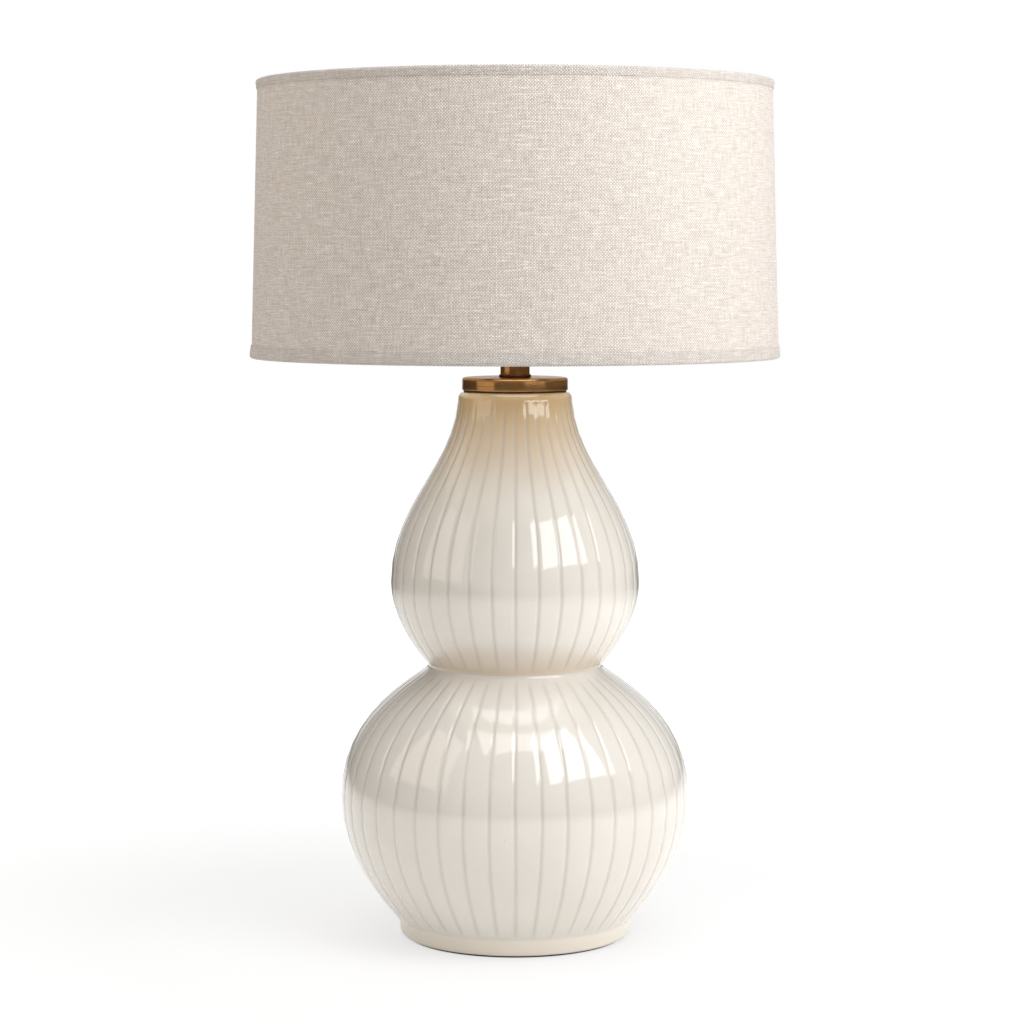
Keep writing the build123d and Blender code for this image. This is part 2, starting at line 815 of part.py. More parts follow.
for name, wire, height, toward in (
    ("shade_bottom_hem", bottom_wire, bottom_hem_height, 1),
    ("shade_top_hem", top_wire, top_hem_height, -1),
):
    upward = Align.MIN if toward > 0 else Align.MAX
    with BuildPart() as shade_hem:
        with BuildSketch(wall_plane):
            with Locations(wire):
                Circle(hem_radius)
                Rectangle(2 * hem_radius, height - hem_radius, align=(Align.CENTER, upward))
                Circle(shade_wire_radius, mode=Mode.SUBTRACT)
                Rectangle(
                    linen_thickness + liner_thickness,
                    height,
                    align=(Align.CENTER, upward),
                    mode=Mode.SUBTRACT,
                )
        revolve(axis=Axis.Z)
        add(spider_arms.part, mode=Mode.SUBTRACT)
    save(shade_hem, name)

# -------------------------------------------------------------------------- finial

with BuildPart() as finial_collar:
    with BuildSketch(Plane.XY.offset(seat_height + hub_thickness)):
        Circle(collar_radius)
        Circle(stud_radius + loose_gap, mode=Mode.SUBTRACT)
    extrude(amount=collar_thickness)
save(finial_collar, "finial_collar")

finial_top = finial_bottom + finial_height
with BuildPart() as finial:
    with BuildSketch(Plane.XY.offset(finial_bottom)):
        Circle(finial_base_radius)
    extrude(amount=finial_base_height)
    with BuildSketch(Plane.XY.offset(finial_bottom)):
        Circle(finial_neck_radius)
    extrude(amount=finial_height - finial_ball_radius)
    with Locations((0, 0, finial_top - finial_ball_radius)):
        Sphere(finial_ball_radius)
    with BuildSketch(Plane.XY.offset(finial_bottom)):
        Circle(stud_radius + running_gap)
    extrude(amount=stud_length - hub_thickness - collar_thickness + loose_gap, mode=Mode.SUBTRACT)
save(finial, "finial")
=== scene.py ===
import json
from math import atan2, cos, degrees, exp, hypot, pi, radians, sin, tau

import bmesh
import bpy
from mathutils import Matrix, Vector, noise
from mathutils.geometry import interpolate_bezier

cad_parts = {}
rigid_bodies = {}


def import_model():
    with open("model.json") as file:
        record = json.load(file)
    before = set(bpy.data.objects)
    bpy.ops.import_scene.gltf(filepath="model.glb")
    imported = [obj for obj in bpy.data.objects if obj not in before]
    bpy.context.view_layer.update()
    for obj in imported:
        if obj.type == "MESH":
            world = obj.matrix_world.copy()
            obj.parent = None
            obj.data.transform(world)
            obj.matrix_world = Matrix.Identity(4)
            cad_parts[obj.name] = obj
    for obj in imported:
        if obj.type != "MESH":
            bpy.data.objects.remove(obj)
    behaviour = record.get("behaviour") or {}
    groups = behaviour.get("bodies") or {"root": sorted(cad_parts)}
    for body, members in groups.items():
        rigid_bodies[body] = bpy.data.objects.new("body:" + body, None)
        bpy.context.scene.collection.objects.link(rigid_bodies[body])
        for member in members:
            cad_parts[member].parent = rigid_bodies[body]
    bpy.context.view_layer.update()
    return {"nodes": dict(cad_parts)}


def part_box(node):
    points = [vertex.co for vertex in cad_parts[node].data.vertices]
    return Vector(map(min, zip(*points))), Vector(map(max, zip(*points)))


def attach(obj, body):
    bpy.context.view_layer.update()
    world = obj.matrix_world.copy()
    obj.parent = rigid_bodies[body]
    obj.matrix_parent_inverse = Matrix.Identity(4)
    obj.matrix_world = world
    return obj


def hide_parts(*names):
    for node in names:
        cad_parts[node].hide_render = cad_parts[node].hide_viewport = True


# Double gourd table lamp. Metres, +Z up, the front is -Y. Every outline is a list of
# (distance from the lamp's axis, height above the table).

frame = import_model()
nodes = frame["nodes"]
print("frame loaded:", len(nodes), "nodes")


# ---- outlines and meshes

cornerPull = 0.55  # a rounded corner's handles, for each unit of its reach


def curveRun(start, startHandle, endHandle, end, count):
    # count points along a bezier curve, without its first point
    corners = [Vector((radius, height, 0)) for radius, height in (start, startHandle, endHandle, end)]
    return [(point.x, point.y) for point in interpolate_bezier(*corners, count + 1)[1:]]


def arcRun(centre, radius, startAngle, endAngle, count):
    # count + 1 points on an arc; 0 degrees points outward and 90 up
    angles = [radians(startAngle + (endAngle - startAngle) * step / count) for step in range(count + 1)]
    return [(centre[0] + radius * cos(angle), centre[1] + radius * sin(angle)) for angle in angles]


def gap(first, second):
    return hypot(first[0] - second[0], first[1] - second[1])


def towards(start, end, distance):
    share = distance / gap(start, end)
    return start[0] + (end[0] - start[0]) * share, start[1] + (end[1] - start[1]) * share


def roundCorner(outline, corner, reach, count=5):
    # swaps a corner for a bend that starts and ends at this reach from it
    place = outline.index(corner)
    before, after = outline[:place], outline[place + 1:]
    while len(before) > 1 and gap(before[-1], corner) <= reach:
        before.pop()
    while len(after) > 1 and gap(after[0], corner) <= reach:
        after.pop(0)
    start = towards(corner, before[-1], reach)
    end = towards(corner, after[0], reach)
    pull = reach * cornerPull
    bend = curveRun(start, towards(start, corner, pull), towards(end, corner, pull), end, count)
    return before + [start] + bend + after


def thickened(path, thickness):
    # a closed outline: the path, and back along the same path moved to its right
    moved = []
    for place, point in enumerate(path):
        before, after = path[max(place - 1, 0)], path[min(place + 1, len(path) - 1)]
        run = gap(before, after)
        right = (after[1] - before[1]) / run, (before[0] - after[0]) / run
        moved.append((point[0] + right[0] * thickness, point[1] + right[1] * thickness))
    return path + moved[::-1]


def ring(inner, outer, base, top):
    return [(inner, base), (outer, base), (outer, top), (inner, top)]


def spun(outline, steps, angle=tau):
    # a closed outline turned about the lamp's axis
    mesh = bmesh.new()
    corners = [mesh.verts.new((radius, 0, height)) for radius, height in outline]
    edges = [mesh.edges.new(pair) for pair in zip(corners, corners[1:] + corners[:1])]
    bmesh.ops.spin(mesh, geom=corners + edges, cent=(0, 0, 0), axis=(0, 0, 1),
                   angle=angle, steps=steps, use_merge=angle == tau)
    bmesh.ops.remove_doubles(mesh, verts=mesh.verts, dist=1e-6)
    bmesh.ops.holes_fill(mesh, edges=mesh.edges)
    bmesh.ops.recalc_face_normals(mesh, faces=mesh.faces)
    return mesh


def addWallMap(mesh, radius, base):
    # a UV map in metres: round the wall from the front, and up from the base
    layer = mesh.loops.layers.uv.new("wall")
    for face in mesh.faces:
        centre = face.calc_center_median()
        middle = atan2(centre.x, -centre.y)
        for loop in face.loops:
            turn = atan2(loop.vert.co.x, -loop.vert.co.y) - middle
            turn = (turn + pi) % tau - pi
            loop[layer].uv = ((middle + turn) * radius, loop.vert.co.z - base)


def cutOut(mesh, tool):
    # takes the tool's shape out of the mesh; both are used up
    solids = []
    for part in (mesh, tool):
        data = bpy.data.meshes.new("cut")
        part.to_mesh(data)
        part.free()
        solids.append(bpy.data.objects.new("cut", data))
        bpy.context.scene.collection.objects.link(solids[-1])
    cut = solids[0].modifiers.new("cut", "BOOLEAN")
    cut.object = solids[1]
    cut.solver = "EXACT"
    evaluated = solids[0].evaluated_get(bpy.context.evaluated_depsgraph_get())
    result = bmesh.new()
    result.from_mesh(bpy.data.meshes.new_from_object(evaluated))
    for solid in solids:
        bpy.data.objects.remove(solid)
    return result


def makePiece(name, mesh, material, body, sharpAngle=40):
    data = bpy.data.meshes.new(name)
    mesh.to_mesh(data)
    mesh.free()
    data.shade_smooth()
    data.set_sharp_from_angle(angle=radians(sharpAngle))
    data.materials.append(material)
    piece = bpy.data.objects.new(name, data)
    bpy.context.scene.collection.objects.link(piece)
    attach(piece, body)
    return piece


def dress(material, *names):
    # a CAD node keeps its mesh and gets a better material
    for name in names:
        for materialSlot in nodes[name].material_slots:
            materialSlot.material = material


# ---- nodes of the materials

def feed(tree, socket, value):
    if isinstance(value, bpy.types.NodeSocket):
        tree.links.new(value, socket)
    elif value is not None:
        socket.default_value = value


def addNode(tree, kind, inputs, **settings):
    node = tree.nodes.new(kind)
    for setting, value in settings.items():
        setattr(node, setting, value)
    for socket, value in inputs.items():
        feed(tree, node.inputs[socket], value)
    return node


def calc(tree, operation, *values, clamp=False):
    inputs = dict(enumerate(values))
    return addNode(tree, "ShaderNodeMath", inputs, operation=operation, use_clamp=clamp).outputs[0]


def spread(tree, value, low, high, lowResult=0.0, highResult=1.0):
    inputs = {"Value": value, "From Min": low, "From Max": high, "To Min": lowResult, "To Max": highResult}
    return addNode(tree, "ShaderNodeMapRange", inputs).outputs["Result"]


def mixValues(tree, share, first, second):
    return addNode(tree, "ShaderNodeMix", {0: share, 2: first, 3: second}).outputs[0]


def mixColors(tree, share, first, second, blend="MIX"):
    inputs = {0: share, 6: first, 7: second}
    return addNode(tree, "ShaderNodeMix", inputs, data_type="RGBA", blend_type=blend).outputs[2]


def scaled(tree, vector, scale):
    inputs = {0: vector, 1: scale}
    return addNode(tree, "ShaderNodeVectorMath", inputs, operation="MULTIPLY").outputs[0]


def noiseOf(tree, vector, scale, detail=2.0, roughness=0.5):
    inputs = {"Vector": vector, "Scale": scale, "Detail": detail, "Roughness": roughness}
    return addNode(tree, "ShaderNodeTexNoise", inputs).outputs[0]


def bumped(tree, height, distance, strength=1.0, under=None):
    inputs = {"Height": height, "Distance": distance, "Strength": strength, "Normal": under}
    return addNode(tree, "ShaderNodeBump", inputs).outputs["Normal"]


def newGroup(name, inputs, outputs):
    group = bpy.data.node_groups.new(name, "ShaderNodeTree")
    for label, kind, value in inputs:
        socket = group.interface.new_socket(label, in_out="INPUT", socket_type=kind)
        if value is not None:
            socket.default_value = value
    for label in outputs:
        group.interface.new_socket(label, in_out="OUTPUT", socket_type="NodeSocketFloat")
    return group, group.nodes.new("NodeGroupInput").outputs, group.nodes.new("NodeGroupOutput").inputs


def useGroup(tree, group, inputs):
    return addNode(tree, "ShaderNodeGroup", inputs, node_tree=group).outputs


def newMaterial(name, plain):
    # plain values go straight onto the shader's own sockets
    material = bpy.data.materials.new(name)
    material.use_nodes = True
    tree = material.node_tree
    shader = tree.nodes["Principled BSDF"].inputs
    for socket, value in plain.items():
        shader[socket].default_value = value
    coords = tree.nodes.new("ShaderNodeTexCoord").outputs
    return material, tree, shader, coords


# ---- effects that several materials share

vectorKind, floatKind = "NodeSocketVector", "NodeSocketFloat"
pipePitch, lampScrewPitch = 0.00094, 0.0036
weave = {
    "pitch": 0.0013,
    "wander": 0.0016,  # how far a thread strays from its line
    "wanderScale": 130.0,
    # how quickly each pattern changes across and up the cloth; a thread keeps its tone for centimetres
    "weftTone": (55.0, 560.0, 1.0),
    "warpTone": (580.0, 70.0, 1.0),
    "slubs": (75.0, 560.0, 1.0),
    "knots": (600.0, 110.0, 1.0),
    "specks": (340.0, 420.0, 1.0),
}


def makeBrushedGrain():
    # fine streaks that run round the lamp's axis
    group, given, result = newGroup(
        "brushedGrain",
        [("Vector", vectorKind, None), ("Along", floatKind, 14.0), ("Across", floatKind, 2600.0)],
        ["Streaks"])
    along, across = given["Along"], given["Across"]
    stretch = addNode(group, "ShaderNodeCombineXYZ", {0: along, 1: along, 2: across})
    streaks = noiseOf(group, scaled(group, given["Vector"], stretch.outputs[0]), 1.0, 3.0, 0.6)
    feed(group, result["Streaks"], spread(group, streaks, 0.3, 0.7))
    return group


def makeMottle():
    # soft blotches, 0 to 1
    group, given, result = newGroup(
        "mottle", [("Vector", vectorKind, None), ("Scale", floatKind, 40.0), ("Detail", floatKind, 3.0)],
        ["Blotches"])
    blotches = noiseOf(group, given["Vector"], given["Scale"], given["Detail"], 0.55)
    feed(group, result["Blotches"], spread(group, blotches, 0.32, 0.68))
    return group


def makeEdgeWear():
    # 1 on convex edges, broken up a little
    group, given, result = newGroup(
        "edgeWear",
        [("Vector", vectorKind, None), ("Width", floatKind, 0.0008), ("Strength", floatKind, 3.0)],
        ["Edge"])
    rounded = addNode(group, "ShaderNodeBevel", {"Radius": given["Width"]}, samples=4).outputs[0]
    flat = group.nodes.new("ShaderNodeNewGeometry").outputs["True Normal"]
    across = addNode(group, "ShaderNodeVectorMath", {0: rounded, 1: flat}, operation="DOT_PRODUCT")
    turned = calc(group, "SUBTRACT", 1.0, across.outputs["Value"])
    edge = calc(group, "MULTIPLY", turned, given["Strength"], clamp=True)
    broken = spread(group, noiseOf(group, given["Vector"], 350.0, 3.0, 0.6), 0.35, 0.6)
    feed(group, result["Edge"], calc(group, "MULTIPLY", edge, broken))
    return group


def makeScrewThread():
    # ridges of a screw about the lamp's axis
    group, given, result = newGroup(
        "screwThread", [("Vector", vectorKind, None), ("Pitch", floatKind, pipePitch)], ["Height"])
    split = addNode(group, "ShaderNodeSeparateXYZ", {0: given["Vector"]}).outputs
    turn = calc(group, "DIVIDE", calc(group, "ARCTAN2", split[1], split[0]), tau)
    rise = calc(group, "SUBTRACT", calc(group, "DIVIDE", split[2], given["Pitch"]), turn)
    feed(group, result["Height"], calc(group, "PINGPONG", rise, 0.5))
    return group


def makePlainWeave():
    # linen from a UV map in metres: crossing threads of uneven thickness, slubs and flecks
    group, given, result = newGroup(
        "plainWeave", [("Vector", vectorKind, None), ("Pitch", floatKind, weave["pitch"]),
                       ("Wander", floatKind, weave["wander"])],
        ["Height", "Over", "Tone", "Slubs", "Flecks"])
    wandering = {"Vector": given["Vector"], "Scale": weave["wanderScale"], "Detail": 2.0}
    drift = addNode(group, "ShaderNodeTexNoise", wandering).outputs[1]
    centred = addNode(group, "ShaderNodeVectorMath", {0: drift, 1: (0.5, 0.5, 0.5)}, operation="SUBTRACT")
    moved = addNode(group, "ShaderNodeVectorMath", {0: centred.outputs[0], "Scale": given["Wander"]},
                    operation="SCALE")
    threads = addNode(group, "ShaderNodeVectorMath", {0: given["Vector"], 1: moved.outputs[0]}).outputs[0]
    split = addNode(group, "ShaderNodeSeparateXYZ", {0: threads}).outputs
    across, up = (
        calc(group, "SINE", calc(group, "DIVIDE", calc(group, "MULTIPLY", split[axis], pi), given["Pitch"]))
        for axis in (0, 1))
    warpOver = calc(group, "MULTIPLY_ADD", calc(group, "MULTIPLY", across, up), 2.5, 0.5, clamp=True)
    feed(group, result["Over"], warpOver)
    body = mixValues(group, warpOver, calc(group, "ABSOLUTE", up), calc(group, "ABSOLUTE", across))
    weftTone = noiseOf(group, scaled(group, threads, weave["weftTone"]), 1.0, 3.0, 0.7)
    warpTone = noiseOf(group, scaled(group, threads, weave["warpTone"]), 1.0, 3.0, 0.7)
    tone = calc(group, "MULTIPLY_ADD", calc(group, "SUBTRACT", warpTone, weftTone), 0.5, weftTone)
    feed(group, result["Tone"], spread(group, tone, 0.35, 0.65))
    slubs = spread(group, noiseOf(group, scaled(group, threads, weave["slubs"]), 1.0, 1.0), 0.60, 0.80)
    knots = spread(group, noiseOf(group, scaled(group, threads, weave["knots"]), 1.0, 1.0), 0.64, 0.82)
    feed(group, result["Slubs"], calc(group, "MAXIMUM", slubs, calc(group, "MULTIPLY", knots, 0.8)))
    specks = noiseOf(group, scaled(group, threads, weave["specks"]), 1.0, 1.0)
    feed(group, result["Flecks"], spread(group, specks, 0.74, 0.80))
    feed(group, result["Height"], calc(group, "ADD", body, calc(group, "MULTIPLY", slubs, 0.5)))
    return group


brushedGrain = makeBrushedGrain()
mottle = makeMottle()
edgeWear = makeEdgeWear()
screwThread = makeScrewThread()
plainWeave = makePlainWeave()
print("shared effects made")


# ---- materials

glaze = {
    "cream": (0.818, 0.772, 0.708, 1),
    "cloud": (0.788, 0.738, 0.668, 1),
    # painted shade: a warm beige tint for the neck under the lampshade and for the upper gourd just over
    # the waist
    "paintedShadeAmber": (0.620, 0.430, 0.225, 1),
    "paintedLightFoot": (0.910, 0.835, 0.725, 1),  # painted light: the foot band painted lighter against its shade near the table
    "pooled": (0.500, 0.465, 0.425, 1),
    "speck": (0.520, 0.450, 0.370, 1),
    "neckShadeSpan": (0.385, 0.462),  # heights between which painted shade from the lampshade gives the neck its warm beige tint
    # painted shade and reflection: heights over the waist where the upper gourd takes the warm beige tint
    "waistShadeSpan": (0.272, 0.240),
    "waist": 0.2377,
    "footLine": (0.0175, 0.0150),
}


def makeGlaze():
    material, tree, shader, coords = newMaterial("creamGlaze", {
        "IOR": 1.5, "Coat IOR": 1.6, "Coat Roughness": 0.03, "Coat Weight": 1.0})
    place = coords["Object"]
    blotches = useGroup(tree, mottle, {"Vector": place, "Scale": 16.0})[0]
    specks = spread(tree, noiseOf(tree, place, 520.0, 1.0), 0.74, 0.80, 0.0, 0.35)
    groove = addNode(tree, "ShaderNodeAttribute", {}, attribute_name="groove").outputs["Fac"]
    level = addNode(tree, "ShaderNodeSeparateXYZ", {0: place}).outputs[2]
    # painted shade: the neck under the lampshade and the upper gourd just over the waist take a warm beige
    # tint, with a wavering edge
    height = calc(tree, "MULTIPLY_ADD", calc(tree, "SUBTRACT", blotches, 0.5), 0.012, level)
    neckShade = calc(tree, "POWER", spread(tree, height, *glaze["neckShadeSpan"]), 1.2)
    onUpper = calc(tree, "GREATER_THAN", level, glaze["waist"])
    waistShade = calc(tree, "MULTIPLY", spread(tree, height, *glaze["waistShadeSpan"], 0.0, 0.45), onUpper)
    color = mixColors(tree, blotches, glaze["cream"], glaze["cloud"])
    color = mixColors(tree, calc(tree, "MAXIMUM", neckShade, waistShade), color, glaze["paintedShadeAmber"])
    # painted light: the foot band under the flutes is painted lighter, to offset its shade near the table
    color = mixColors(tree, spread(tree, level, *glaze["footLine"]), color, glaze["paintedLightFoot"])
    color = mixColors(tree, specks, color, glaze["speck"])
    color = mixColors(tree, calc(tree, "MULTIPLY", groove, 0.36), color, glaze["pooled"])
    feed(tree, shader["Base Color"], color)
    feed(tree, shader["Roughness"], spread(tree, noiseOf(tree, place, 60.0, 3.0), 0.3, 0.7, 0.07, 0.13))
    waves = bumped(tree, noiseOf(tree, place, 22.0, 1.0), 0.0006, 0.35)
    feed(tree, shader["Normal"], bumped(tree, noiseOf(tree, place, 260.0, 2.0), 0.00002, 0.5, waves))
    return material


def makeBrass(name, bright, dull, wornEdge, roughness, anisotropy=0.0, rim=(1, 1, 1, 1)):
    material, tree, shader, coords = newMaterial(name, {
        "Metallic": 1.0, "Anisotropic": anisotropy, "Anisotropic Rotation": 0.25, "Specular Tint": rim})
    place = coords["Object"]
    streaks = useGroup(tree, brushedGrain, {"Vector": place, "Along": 9.0, "Across": 1100.0})["Streaks"]
    blotches = useGroup(tree, mottle, {"Vector": place, "Scale": 55.0, "Detail": 5.0})[0]
    edge = useGroup(tree, edgeWear, {"Vector": place})["Edge"]
    patina = calc(tree, "MULTIPLY_ADD", streaks, 0.6, calc(tree, "MULTIPLY", blotches, 0.3))
    color = mixColors(tree, patina, bright, dull)
    feed(tree, shader["Base Color"], mixColors(tree, edge, color, wornEdge))
    feed(tree, shader["Roughness"], spread(tree, patina, 0.0, 1.0, roughness - 0.07, roughness + 0.10))
    feed(tree, shader["Normal"], bumped(tree, streaks, 0.00003, 0.6))
    if anisotropy:
        feed(tree, shader["Tangent"], addNode(tree, "ShaderNodeTangent", {}, axis="Z").outputs[0])
    return material


def makeThreadedBrass(bright, dull):
    material, tree, shader, coords = newMaterial("threadedBrass", {"Metallic": 1.0})
    place = coords["Object"]
    blotches = useGroup(tree, mottle, {"Vector": place, "Scale": 90.0})[0]
    ridges = useGroup(tree, screwThread, {"Vector": place})["Height"]
    feed(tree, shader["Base Color"], mixColors(tree, blotches, bright, dull))
    feed(tree, shader["Roughness"], spread(tree, blotches, 0.0, 1.0, 0.22, 0.38))
    feed(tree, shader["Normal"], bumped(tree, ridges, 0.0009))
    return material


def makeSteel(name, bright, dull, roughness, threadPitch=None):
    material, tree, shader, coords = newMaterial(name, {"Metallic": 1.0})
    place = coords["Object"]
    spangle = addNode(tree, "ShaderNodeTexVoronoi", {"Vector": place, "Scale": 190.0}).outputs["Color"]
    blotches = useGroup(tree, mottle, {"Vector": place, "Scale": 45.0})[0]
    color = mixColors(tree, blotches, bright, dull)
    feed(tree, shader["Base Color"], mixColors(tree, 0.06, color, spangle, "OVERLAY"))
    feed(tree, shader["Roughness"], spread(tree, blotches, 0.0, 1.0, roughness - 0.06, roughness + 0.10))
    if threadPitch:
        height = useGroup(tree, screwThread, {"Vector": place, "Pitch": threadPitch})["Height"]
    else:
        height = noiseOf(tree, place, 700.0, 2.0)
    feed(tree, shader["Normal"], bumped(tree, height, threadPitch or 0.00002, 0.8))
    return material


def makeLinen(name, colors, flecks):
    material, tree, shader, coords = newMaterial(name, {
        "Roughness": 0.92, "Sheen Weight": 0.18, "Sheen Roughness": 0.45})
    cloth = useGroup(tree, plainWeave, {"Vector": coords["UV"]})
    blotches = useGroup(tree, mottle, {"Vector": coords["UV"], "Scale": 420.0, "Detail": 4.0})[0]
    tone = calc(tree, "MULTIPLY_ADD", cloth["Tone"], 0.8, calc(tree, "MULTIPLY", blotches, 0.2))
    color = mixColors(tree, tone, colors["shadow"], colors["thread"])
    # painted shade: the cloth darkens in the dips between threads, and is lighter where the warp lies over
    # the weft than where the weft lies over it
    weaveGapShade = spread(tree, cloth["Height"], 0.1, 0.7, 0.66, 1.04)
    color = mixColors(tree, 1.0, color, weaveGapShade, "MULTIPLY")
    color = mixColors(tree, 1.0, color, spread(tree, cloth["Over"], 0.0, 1.0, 0.80, 1.17), "MULTIPLY")
    color = mixColors(tree, calc(tree, "MULTIPLY", cloth["Slubs"], 0.36), color, colors["slub"])
    color = mixColors(tree, calc(tree, "MULTIPLY", cloth["Flecks"], flecks), color, colors["fleck"])
    feed(tree, shader["Base Color"], color)
    feed(tree, shader["Normal"], bumped(tree, cloth["Height"], 0.00035, 0.8))
    return material


def makePlain(name, light, dark, roughness, grain, depth, plain=None):
    # rubber, plastic, board and the like: a mottled colour and a fine grain
    material, tree, shader, coords = newMaterial(name, plain or {})
    place = coords["Object"]
    blotches = useGroup(tree, mottle, {"Vector": place, "Scale": 70.0})[0]
    feed(tree, shader["Base Color"], mixColors(tree, blotches, light, dark))
    feed(tree, shader["Roughness"], spread(tree, blotches, 0.0, 1.0, roughness - 0.05, roughness + 0.05))
    feed(tree, shader["Normal"], bumped(tree, noiseOf(tree, place, grain, 3.0, 0.6), depth, 0.7))
    return material


def makeFelt(dark, light):
    material, tree, shader, coords = newMaterial("darkFelt", {"Roughness": 1.0, "Sheen Weight": 0.4})
    place = coords["Object"]
    fibres = noiseOf(tree, scaled(tree, place, (900.0, 350.0, 900.0)), 1.0, 4.0, 0.7)
    crossed = noiseOf(tree, scaled(tree, place, (350.0, 900.0, 900.0)), 1.0, 4.0, 0.7)
    tangle = calc(tree, "MAXIMUM", fibres, crossed)
    feed(tree, shader["Base Color"], mixColors(tree, spread(tree, tangle, 0.4, 0.75), dark, light))
    feed(tree, shader["Normal"], bumped(tree, tangle, 0.0004, 0.9))
    return material


creamGlaze = makeGlaze()
agedBrass = makeBrass(
    "agedBrass", (0.600, 0.335, 0.135, 1), (0.200, 0.078, 0.018, 1), (0.66, 0.42, 0.20, 1), 0.20,
    anisotropy=0.8, rim=(0.75, 0.66, 0.60, 1))
darkBronze = makeBrass(
    "darkBronze", (0.110, 0.055, 0.022, 1), (0.060, 0.028, 0.012, 1), (0.20, 0.11, 0.05, 1), 0.26,
    rim=(0.5, 0.4, 0.35, 1))
brightBrass = makeBrass(
    "brightBrass", (0.660, 0.470, 0.220, 1), (0.480, 0.320, 0.140, 1), (0.74, 0.58, 0.32, 1), 0.26)
threadedBrass = makeThreadedBrass((0.62, 0.44, 0.20, 1), (0.42, 0.28, 0.12, 1))
nickelSteel = makeSteel("nickelSteel", (0.74, 0.72, 0.68, 1), (0.56, 0.54, 0.50, 1), 0.27)
zincSteel = makeSteel("zincSteel", (0.64, 0.64, 0.65, 1), (0.46, 0.46, 0.47, 1), 0.36)
pipeSteel = makeSteel("pipeSteel", (0.62, 0.62, 0.63, 1), (0.44, 0.44, 0.45, 1), 0.34, pipePitch)
aluminium = makeSteel("aluminium", (0.78, 0.78, 0.79, 1), (0.62, 0.62, 0.64, 1), 0.30)
screwAluminium = makeSteel(
    "screwAluminium", (0.78, 0.78, 0.79, 1), (0.62, 0.62, 0.64, 1), 0.28, lampScrewPitch)
linenCloth = makeLinen("linenCloth", {
    "shadow": (0.565, 0.468, 0.396, 1), "thread": (0.868, 0.814, 0.760, 1),
    "slub": (0.930, 0.905, 0.870, 1), "fleck": (0.220, 0.180, 0.150, 1)}, 0.5)
# painted shade: the rolled hems get a darker copy of the shade's linen, for the shade they fall in
shadedHemLinen = makeLinen("shadedHemLinen", {
    "shadow": (0.485, 0.428, 0.382, 1), "thread": (0.760, 0.708, 0.657, 1),
    "slub": (0.820, 0.780, 0.730, 1), "fleck": (0.200, 0.165, 0.140, 1)}, 0.35)
styrene = makePlain("styrene", (0.870, 0.830, 0.750, 1), (0.840, 0.795, 0.710, 1), 0.55, 900.0, 0.00003)
rubber = makePlain("rubber", (0.030, 0.027, 0.025, 1), (0.018, 0.016, 0.015, 1), 0.62, 1200.0, 0.00004)
phenolic = makePlain("phenolic", (0.040, 0.032, 0.027, 1), (0.026, 0.020, 0.017, 1), 0.30, 800.0, 0.00002)
fibreBoard = makePlain(
    "fibreBoard", (0.330, 0.210, 0.115, 1), (0.240, 0.145, 0.075, 1), 0.85, 1500.0, 0.00006)
whitePlastic = makePlain(
    "whitePlastic", (0.840, 0.840, 0.830, 1), (0.800, 0.800, 0.790, 1), 0.35, 1100.0, 0.00001)
opalGlass = makePlain(
    "opalGlass", (0.900, 0.890, 0.870, 1), (0.870, 0.860, 0.840, 1), 0.42, 1500.0, 0.00001,
    {"IOR": 1.5, "Transmission Weight": 0.25, "Coat Weight": 0.2})
felt = makeFelt((0.018, 0.013, 0.011, 1), (0.060, 0.045, 0.038, 1))
print("materials made")


# ---- ceramic body

gourds = {
    "foot": (0.0999, 0.0015),
    "band": (0.1019, 0.0160),
    "flank": ((0.1203, 0.0358), (0.1519, 0.0730)),
    "belly": (0.1519, 0.1230),
    "shoulder": ((0.1519, 0.1950), (0.0884, 0.2250)),
    "waist": (0.0743, 0.2377),
    "upperFlank": ((0.0944, 0.2600), (0.1079, 0.2860)),
    "upperBelly": (0.1079, 0.3100),
    "sweep": ((0.1079, 0.3790), (0.0525, 0.4121)),
    "neck": (0.0496, 0.4680),
    "lip": (0.0496, 0.4760),
    "mouthRadius": 0.0220,
    "inside": [(0.0220, 0.4690), (0.0426, 0.4660), (0.0990, 0.3100), (0.0690, 0.2377), (0.1440, 0.1230),
               (0.0940, 0.0215), (0.0300, 0.0215), (0.0300, 0.0145), (0.0820, 0.0145), (0.0820, 0.0015)],
    "footBend": 0.004,
    "bandBend": 0.0015,
    "waistBend": 0.0035,
    "lipBend": 0.006,
    "columns": 34 * 43,
}
flutes = {
    "lower": {"count": 43, "start": 0.0165, "startFade": 0.005, "end": 0.2355, "endFade": 0.008},
    "upper": {"count": 34, "start": 0.2400, "startFade": 0.008, "end": 0.4700, "endFade": 0.026},
    "depth": 0.0006,
    "halfWidth": 0.0017,
    "crown": 0.014,  # how far a panel bulges between two flutes, for each unit of its width
    "unevenness": 0.024,  # they crowd a little on the right
    "wander": 0.0007,
    "wanderStep": 5.3,  # from one flute to the next, in the noise
    "wanderRise": 11,  # for each metre up
    "wallSlack": 0.0005,  # what lies farther from the outside wall isn't carved
}
cordHole = {"start": 0.080, "bore": 0.00405, "seat": 0.0993, "slack": 0.00005, "end": 0.110, "steps": 48}


def at(outline, point):
    return min(range(len(outline)), key=lambda place: gap(outline[place], point))


